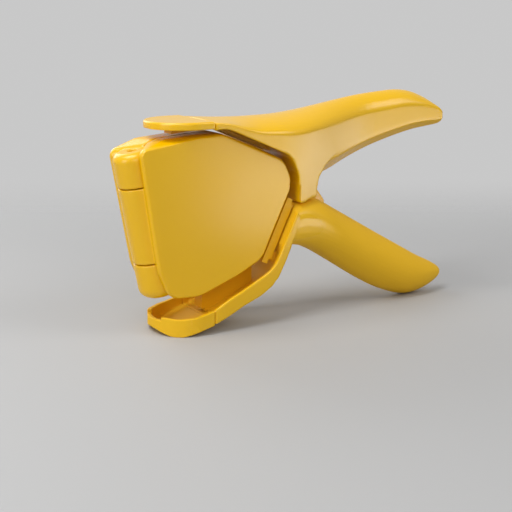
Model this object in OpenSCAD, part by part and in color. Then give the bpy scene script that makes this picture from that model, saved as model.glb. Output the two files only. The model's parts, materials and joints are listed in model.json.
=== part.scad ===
// Hinged lemon squeezer: two V-shaped levers crossing at a neck pivot, and a
// pair of jaws hinged at the nose that carries the fruit between the trays.
// +X runs along the grips, -Y is the near side, +Z is up, the table is Z = 0.

/* [Jaws] */
// half thickness of the closed jaw pair
jaw_half = 16.5; // [14:0.5:20]
// wall of a jaw shell
jaw_wall = 2.6; // [2:0.1:4]
// gap between each jaw's edge and the middle plane
jaw_split = 0.3; // [0.2:0.05:0.6]
// how far the jaws flare from the face to the middle plane, height of a rib
rib_h = 2.5; // [1:0.5:4]

/* [Nose hinge] */
// radius of the nose barrel
nose_r = 11.5; // [10.5:0.5:13]
// radius of the nose pin
nose_pin_r = 2.6; // [2.2:0.2:4]
// lean of the nose pin from upright, degrees
nose_lean = 10.4; // [6:0.1:14]
// running gap between a knuckle and the jaw round it
knuckle_gap = 0.5; // [0.3:0.1:1]

/* [Levers] */
// half width of the trays
tray_half = 21.5; // [19:0.5:24]
// wall of the trays
tray_wall = 2.5; // [2:0.1:4]
// gap between the jaws and the upper rim
upper_gap = 3.3; // [2.5:0.1:5]
// gap between the jaws and the lower rim
lower_gap = 7; // [6:0.5:9]
// half of the gap between the two grips where they lap
lap_gap = 0.4; // [0.3:0.05:0.8]
// thickness of the cover plates of the grips
plate_t = 2; // [1.5:0.1:3]

/* [Neck pivot] */
// radius of the neck pin
neck_pin_r = 5; // [4:0.25:6]
// radius of the neck's lobe behind the shoulder
lobe_r = 11; // [9.5:0.5:12.5]
// radius that the upper lever clears round the neck
neck_clear_r = 20; // [19:0.5:21]

/* [Jaw hinge] */
// radius of the knuckles beside the jaws
strip_r = 2.4; // [2:0.1:2.6]
// radius of the jaw pin
jaw_pin_r = 1.2; // [1:0.1:1.4]
// running fit of all three pins
fit = 0.05; // [0.02:0.01:0.1]

/* [Hidden] */
nose_x = -21.8;
nose_z = 98;
// stations along the nose axis: its ends and the two seams between knuckles
nose_top = 4.5;
seam_top = -14.4;
seam_low = -57.2;
nose_low = -78;
neck_x = 83;
neck_z = 50;
cap_z = 113.4;
cap_x = 16.6;
disc_x = 7.6;
spout_x = 15.2;
groove = 0.8;
yellow = [0.95, 0.75, 0.04];
yellow_in = [0.90, 0.68, 0.03];
steel = [0.72, 0.72, 0.70];
big = 300;

// jaw outlines in X-Z, each corner with its radius: the front face, the rear face and the middle
right_pts = [[24, 109.9, 14], [62.6, 93, 9], [67.2, 83, 9], [66.6, 75.5, 6], [48.4, 37.8, 12],
    [33, 30, 30], [9, 21, 20]];
front_pts = concat(right_pts, [[-9, 21.6, 9], [-15.6, 38, 20], [-25, 104, 4], [8, 108.8, 16]]);
rear_pts = concat(right_pts, [[-11.5, 19.8, 9], [-19, 38, 20], [-30, 101, 5], [-14, 107, 14], [9, 109, 16]]);
mid_pts = [[-18, 104, 5], [-9, 107.8, 14], [9, 109.4, 20], [25, 109.9, 12], [64, 93.6, 9],
    [68.7, 83.2, 9], [68.1, 75.2, 6], [49.6, 36.6, 10], [33.8, 28.6, 30], [9, 20.2, 20],
    [-9, 20.6, 9], [-12, 38, 20]];
// lower tray, outer side outline, up to the neck
tray_pts = [[-2.6, 0], [spout_x, 4.9], [24, 8.6], [33.6, 13.4], [44.7, 17.8], [52, 22.4], [56.6, 27.4],
    [61.5, 36.8], [64.5, 43.5], [67, 50], [69.4, 58], [69.4, 66], [60, 66], [40, 45], [6, 30]];
// top edge of the lower rim where it falls away from the jaws, towards the spout
rim_pts = [[10, 12.4], [spout_x, 13.2], [25, 18.6], [34, 22.6], [34, 40], [10, 40]];
spout_pts = [[-16, 5.2], [-12, 2], [-9, 0.4], [-7.6, 0], [-2.6, 0], [spout_x, 4.9], [spout_x, 13.2],
    [4, 10.6], [-5, 9.8], [-16, 11]];

// stations along each grip: [x, top, near edge of the top, bottom, how far its far side lies in
// from the tray's]
upper_st = [[16.6, 117.3, 116.5, 110, 0], [26, 117, 115.3, 106, 0], [36, 116.9, 112, 101, 0],
    [46, 116.8, 109.3, 96, 0], [58, 117, 108.2, 90, 0.2], [70, 117.5, 107.6, 84, 0.3],
    [85, 118.9, 108.6, 80.5, 0.5], [100, 120.8, 110, 82, 0.5], [114, 122.6, 111.8, 86, 0.2],
    [130, 124.6, 114, 91, 0], [145, 125.9, 115.7, 96, 0.2], [158, 126.6, 117.2, 99.6, 0.7],
    [168, 125.4, 117.2, 102, 1.5], [177, 122, 116.4, 103.4, 3.1], [183, 118.4, 115, 104.2, 5.1],
    [186.6, 115.8, 113.6, 105, 8], [188.2, 113, 111.8, 106.4, 12.5]];
// the same for the lower grip, with its near side in place of the far one
lower_st = [[62, 61, 44.6, 0], [70, 66.8, 42.8, 0.1], [77, 68.9, 41.2, 0.3],
    [86, 68.9, 37.4, 0.9], [94, 65.8, 32.8, 1.5], [107, 58.5, 24.6, 2.9], [121, 50.5, 15.8, 4.1],
    [135, 42.5, 8, 5.1], [148, 35.2, 2.6, 5.9], [158, 29.6, 0.1, 6.9], [168, 24, 0.9, 8.7],
    [178, 19.2, 4.2, 11.5], [184.6, 15.4, 8, 15.1], [187.2, 12.8, 11.2, 19.5]];

// smooth curve through stations a, b, c, d, at t between b and c
function cr(a, b, c, d, t) = 0.5 * (2 * b + (c - a) * t + (2 * a - 5 * b + 4 * c - d) * t * t
    + (3 * b - a - 3 * c + d) * t * t * t);
function at(s, i) = s[max(0, min(len(s) - 1, i))];
function smooth(s, n) = [for (i = [0 : len(s) - 2], k = [0 : n - 1])
    cr(at(s, i - 1), s[i], s[i + 1], at(s, i + 2), k / n), s[len(s) - 1]];
function sgn(v, p) = sign(v) * pow(abs(v), p);
// near side of the upper lever: flush with the tray, then over to the middle plane
function ease(t) = let (u = max(0, min(1, t))) u * u * (3 - 2 * u);
function near(x) = -tray_half + (tray_half + lap_gap) * ease((x - 58) / 80);
// one ring of the upper grip: a dome with a crisp near edge, on a box with a chamfer along its
// near lower edge and a soft far one
function upper_ring(s, n) = [for (j = [0 : n - 1]) let (a = 360 * j / n, c = cos(a), f = tray_half - s[4],
    w = (f - near(s[0])) / 2, p = sin(a) < 0 ? (c < 0 ? 0.3 : 0.55) : c < 0 ? 1.2 : 0.95, y = f - w + w * sgn(c, p),
    z = s[2] + (sin(a) < 0 ? s[2] - s[3] : s[1] - s[2]) * sgn(sin(a), p),
    d = max(0, 0.3 * (s[2] - s[3]) - (y - near(s[0])) - (z - s[3])) / 2) [s[0], y + d, z + d]];
// one ring of the lower grip: half round towards the near side
function lower_ring(s, n) = [for (j = [0 : n - 1]) let (a = 360 * j / n, h = (s[1] - s[2]) / 2,
    p = 1 - 0.45 * ease((110 - s[0]) / 45))
    [s[0], (tray_half - s[3] - 1) * sgn(cos(a), p) - 1, (s[1] + s[2]) / 2 + h * sgn(sin(a), p)]];

// a closed skin over rings with the same number of points
module skin(r) {
    n = len(r[0]);
    m = len(r);
    polyhedron(points = [for (q = r, p = q) p],
        faces = concat([[for (j = [0 : n - 1]) j]], [[for (j = [0 : n - 1]) m * n - 1 - j]],
            [for (i = [0 : m - 2], j = [0 : n - 1]) [i * n + j, (i + 1) * n + j,
                (i + 1) * n + (j + 1) % n, i * n + (j + 1) % n]]));
}

// an outline with each corner turned on its own radius, less d
function unit(v) = v / norm(v);
function flat(p) = [p[0], p[1]];
function corner(a, b, c, r, n) = let (u = unit(a - b), v = unit(c - b), half = acos(u * v) / 2,
    m = b + unit(u + v) * r / sin(half), s = b + u * r / tan(half) - m, e = b + v * r / tan(half) - m,
    a0 = atan2(s[1], s[0]), d0 = atan2(e[1], e[0]) - a0, d = d0 > 180 ? d0 - 360 : d0 < -180 ? d0 + 360 : d0)
    [for (k = [0 : n]) m + r * [cos(a0 + d * k / n), sin(a0 + d * k / n)]];
function rounded(pts, n = 8) = [for (i = [0 : len(pts) - 1])
    each corner(flat(pts[(i + len(pts) - 1) % len(pts)]), flat(pts[i]), flat(pts[(i + 1) % len(pts)]),
        pts[i][2], n)];

// a side outline drawn in X-Z, made solid from y0 to y1
module slab(y0, y1) translate([0, y1, 0]) rotate([90, 0, 0]) linear_extrude(y1 - y0) children();
module round2(r) offset(r = r, $fn = 32) offset(delta = -r) children();
module face2(pts = front_pts) polygon(rounded(pts));
module mid2() polygon(rounded(mid_pts));
module tray2() intersection() {
    offset(r = 5, $fn = 48) offset(r = -10, $fn = 48) offset(delta = 5) polygon(tray_pts);
    translate([spout_x, -10]) square([big, 100]);
}
// along the nose pin: z = 0 at its upper knuckle
module nose() translate([nose_x, 0, nose_z]) rotate([0, -nose_lean, 0]) children();
module nose_cyl(s0, s1, r) nose() translate([0, 0, s0]) cylinder(r = r, h = s1 - s0, $fn = 72);
// along the jaw pin: z = 0 at the lower end of the jaws' slanting edge
strip_len = 24.6;
strip_out = 4.7;
strip_a = atan2(66.6 - 48.4, 75.5 - 37.8);
module strip() translate([48.4 + strip_out * cos(strip_a), 6.5 - jaw_half, 37.8 - strip_out * sin(strip_a)])
    rotate([0, strip_a, 0]) children();
module strip_room() strip() translate([0, 0, 4]) cylinder(r = strip_r + 0.6, h = strip_len + 6, $fn = 48);
module neck(y0, y1, r) translate([neck_x, y0, neck_z]) rotate([-90, 0, 0])
    cylinder(r = r, h = y1 - y0, $fn = 72);

// outer block of one jaw, on the -Y side, crowned to its face and with a soft face edge
module jaw_block(face) hull() {
    slab(-8, -jaw_split) mid2();
    slab(-15.2, -13) face2(face);
    slab(-jaw_half, -15.9) offset(delta = -0.7) face2(face);
}
module jaw_shell(face) difference() {
    jaw_block(face);
    slab(-jaw_half + jaw_wall, 1) pocket2();
}
// the hollow behind a jaw's face, right of the nose
module pocket2() offset(delta = -jaw_wall - 0.8) difference() {
    face2();
    polygon([[nose_x - 40, 150], [nose_x + 2, 150], [nose_x + 28, 0], [nose_x - 40, 0]]);
}
module press_plate() {
    slab(-jaw_half + jaw_wall + 1.3, -jaw_half + jaw_wall + 2.9) pocket2();
    for (i = [0 : 4]) slab(-jaw_half + jaw_wall, -jaw_half + jaw_wall + 2.9 + rib_h) intersection() {
        offset(delta = -2) pocket2();
        translate([12 + 10 * i, 20]) rotate(nose_lean) translate([0, -20]) square([1.6, 130]);
    }
}
// an end knuckle of the nose, from s0 to s1, with the edge at s1 turned on a radius
module knuckle_end(s0, s1, soft) nose() rotate_extrude($fn = 72) polygon(concat([[0, s1], [0, s0], [nose_r, s0]],
    [for (k = [6 : -1 : 0]) [nose_r - soft + soft * sin(15 * k), s1 + sign(s0 - s1) * soft * (1 - cos(15 * k))]]));

module front_jaw() color(yellow) difference() {
    union() {
        difference() {
            jaw_shell(front_pts);
            nose_cyl(seam_top - 0.2, nose_top + 1.2, nose_r + knuckle_gap);
            nose_cyl(-100, seam_low + 0.2, nose_r + knuckle_gap);
        }
        nose_cyl(seam_low + 0.3, seam_top - 0.3, nose_r);
    }
    nose_cyl(-100, nose_top + 1, nose_pin_r);
}
module rear_jaw() color(yellow) difference() {
    union() {
        difference() {
            mirror([0, 1, 0]) jaw_shell(rear_pts);
            nose_cyl(seam_low - 0.2, seam_top + 0.2, nose_r + knuckle_gap);
        }
        knuckle_end(seam_top + 0.3, nose_top, 4.5);
        knuckle_end(seam_low - 0.3, nose_low, 6);
    }
    nose_cyl(nose_low + 3, nose_top + 0.1, nose_pin_r + fit);
}
module front_press_plate() color(yellow_in) press_plate();
module rear_press_plate() color(yellow_in) mirror([0, 1, 0]) press_plate();
// carries the middle knuckle beside the jaws' slanting edge
module front_hinge_strip() color(yellow_in) difference() {
    union() {
        strip() translate([0, 0, 6.8]) cylinder(r = strip_r, h = strip_len, $fn = 48);
        strip() translate([-3.6, 0.5 - strip_r, 6.8]) cube([4.4, 2 * strip_r - 1, strip_len]);
        // cover leaf on the near side, full width between the end notches
        strip() translate([-4, -5.6, 1.5]) cube([5, 2.2, strip_len + 8.6]);
        strip() translate([-4, -5.6, -1.5]) cube([3.6, 2.2, strip_len + 14.6]);
        strip() translate([-3.6, -4, 6.8]) cube([3, 4, strip_len]);
    }
    strip() translate([0, 0, -20]) cylinder(r = jaw_pin_r + fit, h = 90, $fn = 48);
    jaw_block(front_pts);
}
module nose_pin() color(steel) nose_cyl(nose_low + 3.5, nose_top - 3, nose_pin_r);
module nose_pin_plug() color(yellow_in) nose_cyl(nose_top - 3, nose_top - 1.4, nose_pin_r - 0.2);

module upper_handle() color(yellow) difference() {
    union() {
        difference() {
            union() {
                skin([for (t = smooth(upper_st, 3)) upper_ring(t, 40)]);
                // web between the tray and the neck: near half, then far half with the neck's lobe
                slab(-tray_half, 0) round2(1) polygon([[30, 112], [62, 107], [96, 107], [102, 93],
                    [92, 86.5], [87, 81], [85, 74], [84.5, 60], [71.4, 60], [71.4, 78], [58, 92]]);
                slab(0, tray_half - 0.6) round2(1) polygon([[30, 112], [62, 107], [96, 107], [108, 92],
                    [97, 85.5], [92, 79], [90.4, 74.5], [88, 64], [69, 64], [69, 78], [58, 92]]);
                slab(lap_gap, tray_half - 1.5) round2(3) polygon([[70, 66], [70, 84], [92, 84], [92, 76],
                    [101, 64], [97, 52], [89, 41], [77, 40.5], [70.4, 52]]);
            }
            // the flat near face passes from the tray to the middle plane
            translate([0, 0, -10]) linear_extrude(200) polygon(concat([[-50, -60], [-50, -tray_half]],
                [for (i = [0 : 27]) [58 + 3 * i, near(58 + 3 * i)]], [[big, lap_gap], [big, -60]]));
            // the lower lever's shoulder and rim turn below this
            neck(-60, lap_gap, neck_clear_r);
            translate([0, -60, 0]) cube([big, 60 + lap_gap, 62]);
            translate([0, -60, 0]) cube([75, 60 + lap_gap, 68.2]);
        }
        neck(lap_gap, tray_half - 1.5, lobe_r);
    }
    // groove against the cap
    difference() {
        translate([cap_x - 1, -60, 60]) cube([1 + groove, 120, 90]);
        translate([0, groove - tray_half, 0]) cube([60, 2 * (tray_half - groove), 117.3 - groove]);
    }
    // room for the jaws between the side walls, and for the jaw pin's upper knuckle
    slab(-60, 60) offset(r = upper_gap - 0.1, $fn = 32) face2();
    slab(-tray_half + tray_wall, tray_half - tray_wall) {
        offset(r = upper_gap, $fn = 32) mid2();
        polygon([[58, 58], [71.4, 60], [72, 78], [68, 92], [58, 92]]);
    }
    neck(-1, tray_half - 4, neck_pin_r + fit);
    neck(tray_half - 4, tray_half + 5, neck_pin_r + 3);
}
module upper_cap() color(yellow) {
    hull() {
        translate([0, 0, cap_z]) linear_extrude(3.2) end_plan(cap_x - 0.3);
        translate([0, 0, cap_z]) linear_extrude(4) offset(delta = -0.8) end_plan(cap_x - 0.3);
    }
}
// round-ended plan of the cap and the spout, ending at x
module end_plan(x) intersection() {
    union() {
        translate([disc_x, 0]) circle(r = tray_half, $fn = 120);
        translate([disc_x, -tray_half]) square([30, 2 * tray_half]);
    }
    translate([-60, -60]) square([60 + x, 120]);
}
// a narrow box wall along the middle, from x0, between two side outlines
module comb(x0) {
    for (y = [-4.5, 3]) slab(y, y + 1.5) children();
    slab(-3, 3) intersection() {
        children();
        translate([x0, 0]) square([1.6, 200]);
    }
}
module upper_strainer() color(yellow_in) comb(-1.5) difference() {
    intersection() {
        union() {
            offset(r = upper_gap, $fn = 32) mid2();
            translate([-1.5, 100]) square([cap_x + 1.4, cap_z - 100]);
        }
        polygon([[-1.5, 100], [-1.5, cap_z], [34, cap_z], [60, 112], [60, 96]]);
    }
    offset(r = 1.6, $fn = 32) mid2();
}

module lower_handle() color(yellow) difference() {
    union() {
        difference() {
            union() {
                slab(-tray_half, tray_half) tray2();
                difference() {
                    skin([for (t = smooth(lower_st, 3)) lower_ring(t, 40)]);
                    translate([0, -lap_gap, -50]) cube([big, 60, 200]);
                    translate([0, -tray_half - 20, -50]) cube([big, 20, 200]);
                }
            }
            // the far half makes room for the upper lever's lobe
            translate([66.2, -lap_gap, 0]) cube([60, 60, 100]);
            neck(-lap_gap, 60, lobe_r + 0.5);
            neck_top(73.5, 94, neck_clear_r - 0.5);
            neck_top(66, 73.5, neck_clear_r + 0.2);
            slab(-60, 60) offset(r = lower_gap, $fn = 32) face2();
            slab(-60, 60) polygon(rim_pts);
            slab(-tray_half + tray_wall, tray_half - tray_wall) intersection() {
                offset(delta = -tray_wall) tray2();
                polygon([[0, -10], [0, 50], [40, 60], [60, 60], [60, -10]]);
            }
            slab(-tray_half + tray_wall, tray_half - tray_wall) translate([0, 8]) square([19.5, 40]);
            strip_room();
        }
        // end knuckles of the jaw pin, on brackets from the tray wall
        strip() for (z = [1.4, 7.2 + strip_len]) translate([0, 0, z]) {
            cylinder(r = strip_r, h = 5, $fn = 48);
            translate([0, -2, 0]) cube([5.6, 4, 5]);
        }
    }
    // groove against the spout
    difference() {
        translate([spout_x - 1, -60, 0]) cube([1 + groove, 120, 40]);
        slab(groove - tray_half, tray_half - groove) offset(delta = -groove) union() {
            polygon(tray_pts);
            translate([0, 5]) square([20, 40]);
        }
    }
    strip() translate([0, 0, 1]) cylinder(r = jaw_pin_r, h = strip_len + 11.6, $fn = 48);
    neck(-14, 10, neck_pin_r);
    slab(-lap_gap - plate_t, 1) low_cover2();
    slab(-10, 0) offset(delta = -2) low_cover2();
}
// trims the near half of the neck between x0 and x1 to a radius that the upper lever clears
module neck_top(x0, x1, r) difference() {
    translate([x0, -60, neck_z]) cube([x1 - x0, 60 - lap_gap, 40]);
    neck(-61, 61, r);
}
module low_cover2() round2(2) polygon([[108, 51], [108, 33], [122, 23.5], [136, 15.5], [150, 10.5],
    [160, 9.5], [164, 12.5], [160, 20], [150, 26.5]]);
module lower_handle_plate() color(yellow) slab(-lap_gap - plate_t, -lap_gap) low_cover2();
module lower_spout() color(yellow) difference() {
    intersection() {
        slab(-tray_half, tray_half) polygon(spout_pts);
        linear_extrude(40) end_plan(spout_x);
    }
    intersection() {
        slab(-tray_half, tray_half) polygon([[-30, 12], [-11, 5.4], [-8, 3], [0, 2.7], [20, 9.4], [20, 40], [-30, 40]]);
        translate([0, 0, -1]) linear_extrude(60) offset(delta = -tray_wall) end_plan(big);
    }
    // pouring dip in the rim
    slab(-9, 9) polygon([[-40, 9], [-3, 8.4], [-1, 30], [-40, 30]]);
}
module lower_strainer() color(yellow_in) comb(spout_x + 0.4) difference() {
    intersection() {
        offset(delta = -tray_wall - 0.05) union() {
            tray2();
            translate([0, 8]) square([20, 22]);
        }
        polygon([[spout_x + 0.4, 0], [spout_x + 0.4, 30], [48, 46], [48, 0]]);
    }
    offset(r = 3, $fn = 32) mid2();
}
module neck_pin() color(steel) {
    neck(-14, tray_half - 4, neck_pin_r);
    neck(tray_half - 4 + 0.3, tray_half - 2, neck_pin_r + 2.4);
    neck(tray_half - 5, tray_half - 3, neck_pin_r);
}
module jaw_pin() color(steel) strip() translate([0, 0, 1.6]) cylinder(r = jaw_pin_r, h = strip_len + 10.4, $fn = 48);

// the whole object's box is centred on the origin
module place() translate([-77.52, 0, 0]) children();

place() lower_handle();
place() lower_spout();
place() lower_handle_plate();
place() lower_strainer();
place() neck_pin();
place() jaw_pin();
place() upper_handle();
place() upper_cap();
place() upper_strainer();
place() front_jaw();
place() front_press_plate();
place() front_hinge_strip();
place() nose_pin();
place() nose_pin_plug();
place() rear_jaw();
place() rear_press_plate();
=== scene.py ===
# %% [markdown]
# A hinged lemon squeezer is a handful of thick satin mouldings in one yellow plastic. The frame
# gives every moulding its true size and place. This script gives each one what a mould gives it:
# rounded edges, smooth crowned faces and the fine grain of satin plastic.

import json
import math

import bmesh
import bpy
import numpy as np
from mathutils import Matrix, Vector


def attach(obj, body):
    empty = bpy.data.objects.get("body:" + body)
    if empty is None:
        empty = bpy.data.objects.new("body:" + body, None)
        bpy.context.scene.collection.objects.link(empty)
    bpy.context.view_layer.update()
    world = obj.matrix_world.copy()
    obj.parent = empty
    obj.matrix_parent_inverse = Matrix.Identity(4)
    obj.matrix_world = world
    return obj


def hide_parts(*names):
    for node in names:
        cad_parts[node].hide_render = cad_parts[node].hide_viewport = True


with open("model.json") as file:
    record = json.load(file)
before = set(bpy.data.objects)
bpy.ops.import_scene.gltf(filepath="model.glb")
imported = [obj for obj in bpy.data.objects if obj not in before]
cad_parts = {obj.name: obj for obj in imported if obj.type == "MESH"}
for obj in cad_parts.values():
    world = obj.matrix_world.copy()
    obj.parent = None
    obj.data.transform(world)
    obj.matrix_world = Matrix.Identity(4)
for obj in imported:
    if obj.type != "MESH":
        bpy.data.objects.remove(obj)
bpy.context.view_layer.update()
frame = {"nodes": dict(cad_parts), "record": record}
nodes = frame["nodes"]
print("frame loaded:", len(nodes), "nodes")

# %% [markdown]
# A moulded part has no sharp outside edge, because the mould's own corners are rounded. Each big
# moulding is rebuilt from its solid as an even skin of small quads, and the skin is then relaxed,
# which rounds every edge by about the same radius and leaves broad faces where they were.

# %% Helper: a moulded skin over a solid
MM = 0.001


def moulded(node_name, body, voxel_mm, relax=3):
    """A copy of the node's solid, rebuilt in even quads voxel_mm wide, each vertex then moved
    relax times half way to the mean of its neighbours."""
    source = nodes[node_name]
    mesh = source.data.copy()
    sewn = bmesh.new()
    sewn.from_mesh(mesh)
    bmesh.ops.remove_doubles(sewn, verts=sewn.verts, dist=1e-7)
    sewn.to_mesh(mesh)
    sewn.free()
    piece = bpy.data.objects.new(node_name + "_skin", mesh)
    bpy.context.scene.collection.objects.link(piece)
    remesh = piece.modifiers.new("skin", "REMESH")
    remesh.mode = "VOXEL"
    remesh.voxel_size = voxel_mm * MM
    remesh.use_smooth_shade = True
    smooth = piece.modifiers.new("relax", "SMOOTH")
    smooth.factor = 0.5
    smooth.iterations = relax
    graph = bpy.context.evaluated_depsgraph_get()
    done = bpy.data.meshes.new_from_object(piece.evaluated_get(graph), depsgraph=graph)
    piece.modifiers.clear()
    piece.data = done
    done.materials.clear()
    done.polygons.foreach_set("use_smooth", np.ones(len(done.polygons), dtype=bool))
    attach(piece, body)
    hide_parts(node_name)
    print(piece.name, len(done.polygons), "faces")
    return piece


# %% [markdown]
# Shader graphs read better as sums than as boxes and wires, so one small class wraps a socket and
# turns the usual operators into Math nodes.

# %% Helper: shader maths as expressions
class Socket:
    """A node socket that can be added, multiplied and so on, which adds Math nodes."""

    def __init__(self, tree, out):
        self.tree, self.out = tree, out

    def _math(self, operation, a, b):
        return add_node(self.tree, "ShaderNodeMath", {"operation": operation}, {0: a, 1: b})

    def __add__(self, other):
        return self._math("ADD", self, other)

    def __radd__(self, other):
        return self._math("ADD", other, self)

    def __sub__(self, other):
        return self._math("SUBTRACT", self, other)

    def __rsub__(self, other):
        return self._math("SUBTRACT", other, self)

    def __mul__(self, other):
        return self._math("MULTIPLY", self, other)

    def __rmul__(self, other):
        return self._math("MULTIPLY", other, self)


def add_node(tree, kind, settings=None, values=None, out=0):
    """Adds a node of that type, its settings first and then its sockets, and returns one output."""
    node = tree.nodes.new(kind)
    for key, value in (settings or {}).items():
        setattr(node, key, value)
    for key, value in (values or {}).items():
        if isinstance(value, Socket):
            tree.links.new(value.out, node.inputs[key])
        else:
            node.inputs[key].default_value = value
    return Socket(tree, node.outputs[out])


def smooth_step(tree, value, start, end, low=0.0, high=1.0):
    """A smooth S from low to high as value goes from start to end, and flat beyond both."""
    return add_node(tree, "ShaderNodeMapRange", {"interpolation_type": "SMOOTHSTEP"},
                    {0: value, 1: start, 2: end, 3: low, 4: high})


def noise(tree, place, scale, detail):
    """Noise from 0 to 1 on Object coordinates, with scale waves in a metre."""
    return add_node(tree, "ShaderNodeTexNoise", None,
                    {"Vector": place, "Scale": scale, "Detail": detail})


def new_material(name):
    """An empty material: itself, its node tree, its shader and the Object coordinates."""
    material = bpy.data.materials.new(name)
    material.use_nodes = True
    tree = material.node_tree
    place = add_node(tree, "ShaderNodeTexCoord", out=3)
    return material, tree, tree.nodes["Principled BSDF"], place


def mix_colour(tree, factor, a, b):
    """One colour moving to another as factor goes from 0 to 1."""
    node = tree.nodes.new("ShaderNodeMix")
    node.data_type = "RGBA"
    for key, value in ((0, factor), (6, a), (7, b)):
        if isinstance(value, Socket):
            tree.links.new(value.out, node.inputs[key])
        else:
            node.inputs[key].default_value = value
    return Socket(tree, node.outputs[2])


print("shader maths: +, - and * on sockets, smooth steps, noise and mixed colours")

# %% [markdown]
# Satin plastic is a clear yellow with a soft, even gloss. Under close light its skin shows three
# things: a very fine grain that blurs the gloss, a slow drift of the colour, and a few dull patches
# where hands rub it. All three are noise on Object coordinates. The steel pin gets fine tool marks.

# %% Materials
def linear(colour):
    """sRGB numbers from 0 to 255 as the linear colour that a shader reads."""
    part = np.array(colour, dtype=float) / 255.0
    low, high = part / 12.92, ((part + 0.055) / 1.055) ** 2.4
    return tuple(float(v) for v in np.where(part <= 0.04045, low, high)) + (1.0,)


YELLOW = linear((238, 186, 0))
YELLOW_DEEP = linear((234, 181, 0))
YELLOW_INSIDE = linear((226, 168, 0))
STEEL = linear((188, 188, 184))
TRAY_INSIDE, TRAY_OUTSIDE = 0.0190, 0.0208  # metres from the middle plane
TRAY_DULL = 0.45  # added roughness


def satin_plastic(name, colour, colour_deep, roughness, grain_um, tray=False):
    """Moulded plastic: a base colour with slow drift, grain in the gloss and a fine bump. On the
    lower lever, what lies within its near and far sides, the tray's inside and the worn grip, is
    duller by TRAY_DULL."""
    material, tree, shader, place = new_material(name)
    drift = noise(tree, place, 18.0, 3.0)
    rub = noise(tree, place, 55.0, 5.0)
    grain = noise(tree, place, 2600.0, 2.0)
    base = mix_colour(tree, drift * 0.7, colour, colour_deep)
    tree.links.new(base.out, shader.inputs["Base Color"])
    rough = roughness + (rub - 0.5) * 0.10 + (grain - 0.5) * 0.05
    if tray:
        side = add_node(tree, "ShaderNodeSeparateXYZ", None, {0: place}, out=1)
        between = smooth_step(tree, side * side, TRAY_INSIDE ** 2, TRAY_OUTSIDE ** 2, 1.0, 0.0)
        rough = rough + between * TRAY_DULL
    tree.links.new(rough.out, shader.inputs["Roughness"])
    bump = add_node(tree, "ShaderNodeBump", None,
                    {"Height": grain, "Strength": 0.25, "Distance": grain_um * 1e-6})
    tree.links.new(bump.out, shader.inputs["Normal"])
    shader.inputs["IOR"].default_value = 1.50
    shader.inputs["Subsurface Weight"].default_value = 0.0
    return material


def turned_steel(name, colour):
    """A turned pin: fine tool marks that make its gloss uneven."""
    material, tree, shader, place = new_material(name)
    rough = 0.28 + noise(tree, place, 1800.0, 2.0) * 0.14
    tree.links.new(rough.out, shader.inputs["Roughness"])
    shader.inputs["Base Color"].default_value = colour
    shader.inputs["Metallic"].default_value = 1.0
    return material


yellow = satin_plastic("satin_yellow", YELLOW, YELLOW_DEEP, 0.24, 12)
tray_yellow = satin_plastic("satin_yellow_tray", YELLOW, YELLOW_DEEP, 0.24, 12, tray=True)
inside = satin_plastic("inner_yellow", YELLOW_INSIDE, YELLOW_DEEP, 0.46, 16)
steel = turned_steel("turned_steel", STEEL)
finish_of = {"yellow_plastic": yellow, "inner_plastic": inside, "steel_pin": steel}
print("finishes:", sorted(finish_of))

# %% [markdown]
# The six mouldings that are seen most get the rounded skin, with finer quads on the two small ones,
# whose rims are thin. The small hidden pieces keep their solids and only take the finish of their
# slot.

# %% Mouldings
slot_of = {row["node"]: row["material_slot"] for row in frame["record"]["subparts"]}
body_of = {n: b for b, names in frame["record"]["behaviour"]["bodies"].items() for n in names}
VOXEL_MM = {"lower_handle": 0.54, "lower_spout": 0.36, "upper_handle": 0.55, "upper_cap": 0.36,
            "front_jaw": 0.55, "rear_jaw": 0.55}
TRAY_PIECES = ("lower_spout", "lower_handle")
for node_name, voxel_mm in VOXEL_MM.items():
    skin = moulded(node_name, body_of[node_name], voxel_mm)
    finish = tray_yellow if node_name in TRAY_PIECES else finish_of[slot_of[node_name]]
    skin.data.materials.append(finish)

for node_name, part in nodes.items():
    if node_name not in VOXEL_MM:
        part.data.materials.clear()
        part.data.materials.append(finish_of[slot_of[node_name]])
print("skinned:", len(VOXEL_MM), "plain:", len(nodes) - len(VOXEL_MM))

# %% [markdown]
# The squeezer stands on a plain pale floor. Behind the object and far out at its rim the floor fades
# into the backdrop, so that nothing but the object and its shadow is seen.

# %% Floor
def grid_sheet(name, xs, ys, height):
    """A sheet over the grid xs by ys, its height worked out as a function of x and y."""
    gx, gy = np.meshgrid(xs, ys, indexing="ij")
    points = np.stack([gx, gy, height(gx, gy)], axis=-1).reshape(-1, 3)
    n, m = len(xs), len(ys)
    i = (np.arange(n - 1)[:, None] * m + np.arange(m - 1)[None, :]).ravel()
    faces = np.stack([i, i + m, i + m + 1, i + 1], axis=-1)
    mesh = bpy.data.meshes.new(name)
    mesh.from_pydata(points.tolist(), [], faces.tolist())
    mesh.polygons.foreach_set("use_smooth", np.ones(len(mesh.polygons), dtype=bool))
    sheet = bpy.data.objects.new(name, mesh)
    bpy.context.scene.collection.objects.link(sheet)
    return sheet


AZIMUTH, TILT = math.radians(30.0), math.radians(13.09)  # the way the camera looks
FADE_FROM, FADE_TO = 0.10, 0.50  # metres behind the origin, along the camera's look
RIM_FROM, RIM_TO = 0.85, 1.5  # metres from the origin, all round
FLOOR_GREY = linear((178, 178, 178))

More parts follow.
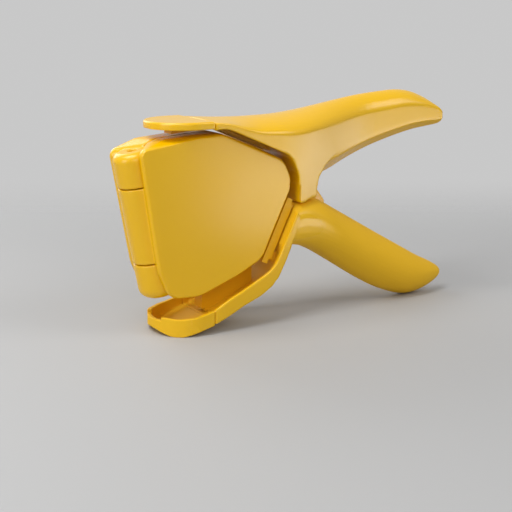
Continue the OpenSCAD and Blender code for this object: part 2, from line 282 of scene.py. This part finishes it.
floor_material, tree, shader, place = new_material("pale_floor")
shader.inputs["Base Color"].default_value = FLOOR_GREY
shader.inputs["Roughness"].default_value = 0.6
shader.inputs["Specular IOR Level"].default_value = 0.2
across = add_node(tree, "ShaderNodeSeparateXYZ", None, {0: place}, out=0)
along = Socket(tree, across.out.node.outputs[1])
reach = across * math.sin(AZIMUTH) + along * math.cos(AZIMUTH)
opaque = (smooth_step(tree, reach, FADE_FROM, FADE_TO, 1.0, 0.0)
          * smooth_step(tree, across * across + along * along, RIM_FROM ** 2, RIM_TO ** 2, 1.0, 0.0))
tree.links.new(opaque.out, shader.inputs["Alpha"])
floor = grid_sheet("floor", np.linspace(-2, 2, 21), np.linspace(-2, 2, 21), lambda x, y: x * 0.0)
floor.data.materials.append(floor_material)
print("floor fades out", FADE_FROM, "to", FADE_TO, "m behind the origin")

# %% [markdown]
# The broad pale sheen on the squeezer's flat sides comes from a bright card in front and to the
# right, as in a product studio. It is painted on the floor as light that only reflections
# see. Its left edge is a line through one point, and near the object it fades, so that the lower
# grip stays satin.

# %% Card
CARD_POINT, CARD_TURN = (-0.0575, -0.0165), math.radians(28.06)
CARD_SOFT = (-0.02, 0.03)  # metres right of the edge, from dark to full
CARD_START, CARD_FULL, CARD_SKEW = 0.225, 0.30, 0.3  # metres in front, nearer on the right by skew
CARD_LEVEL = 5.4
right_of = (across * math.cos(CARD_TURN) + along * math.sin(CARD_TURN)
            - (CARD_POINT[0] * math.cos(CARD_TURN) + CARD_POINT[1] * math.sin(CARD_TURN)))
card = smooth_step(tree, right_of, *CARD_SOFT)
ahead = smooth_step(tree, across * CARD_SKEW - along, CARD_START, CARD_FULL)
ray = tree.nodes.new("ShaderNodeLightPath")
glow = card * ahead * Socket(tree, ray.outputs["Is Glossy Ray"]) * CARD_LEVEL
glow_colour = add_node(tree, "ShaderNodeCombineXYZ", None, {0: glow, 1: glow, 2: glow})
tree.links.new(glow_colour.out, shader.inputs["Emission Color"])
shader.inputs["Emission Strength"].default_value = 1.0
print("card level", CARD_LEVEL, "from", CARD_START, "m in front")

# %% [markdown]
# The light is a bright studio: a large soft lamp above and to the left, weak broad ones in front, to
# the left, high on the right, where it reaches the lower grip, and behind, and a pale world for the
# rest.

# %% Lights
def soft_lamp(name, place, target, size, power):
    """A square lamp at place that looks at target, size in metres and power in watts."""
    data = bpy.data.lights.new(name, "AREA")
    data.shape, data.size, data.energy = "SQUARE", size, power
    lamp = bpy.data.objects.new(name, data)
    bpy.context.scene.collection.objects.link(lamp)
    aim = (Vector(target) - Vector(place)).to_track_quat("-Z", "Y")
    lamp.matrix_world = Matrix.Translation(place) @ aim.to_matrix().to_4x4()
    return lamp


centre = (0.0, 0.0, 0.06)
FILL, BACKDROP = 0.24, 0.34  # the world's own light, and what the backdrop shows above it
soft_lamp("key_lamp", (-0.50, -0.05, 1.05), centre, 0.7, 9.4)
soft_lamp("front_lamp", (-0.45, -1.0, 0.45), centre, 0.6, 1.8)
soft_lamp("right_lamp", (0.55, -0.65, 0.80), centre, 0.5, 2.9)
soft_lamp("back_lamp", (-0.20, 0.95, 0.55), centre, 0.6, 3.0)
soft_lamp("left_lamp", (-1.0, -0.20, 0.30), centre, 0.4, 2.2)

world = bpy.data.worlds.new("studio")
bpy.context.scene.world = world
world.use_nodes = True
tree = world.node_tree
path = tree.nodes.new("ShaderNodeLightPath")
camera_ray, glossy_ray, transmission_ray = (
    Socket(tree, path.outputs[kind])
    for kind in ("Is Camera Ray", "Is Glossy Ray", "Is Transmission Ray"))
ground = tree.nodes["Background"]
ground.inputs["Color"].default_value = (1.0, 1.0, 1.0, 1.0)
strength = FILL + (camera_ray + glossy_ray + transmission_ray) * BACKDROP
tree.links.new(strength.out, ground.inputs["Strength"])

# %% [markdown]
# The camera stands in front and to the left, a little above, and looks slightly down. A long lens
# keeps the parallel edges of the jaws nearly parallel.

# %% Camera
camera_data = bpy.data.cameras.new("camera")
camera_data.sensor_width, camera_data.lens = 36.0, 78.7
camera = bpy.data.objects.new("camera", camera_data)
bpy.context.scene.collection.objects.link(camera)
CAMERA_PLACE = Vector((-0.33965, -0.5468, 0.1825))
look = Vector((math.sin(AZIMUTH) * math.cos(TILT), math.cos(AZIMUTH) * math.cos(TILT),
               -math.sin(TILT)))
turn = look.to_track_quat("-Z", "Y").to_matrix().to_4x4()
camera.matrix_world = Matrix.Translation(CAMERA_PLACE) @ turn
bpy.context.scene.camera = camera
bpy.context.scene.view_settings.view_transform = "Standard"
print("camera at", tuple(round(v, 3) for v in CAMERA_PLACE))
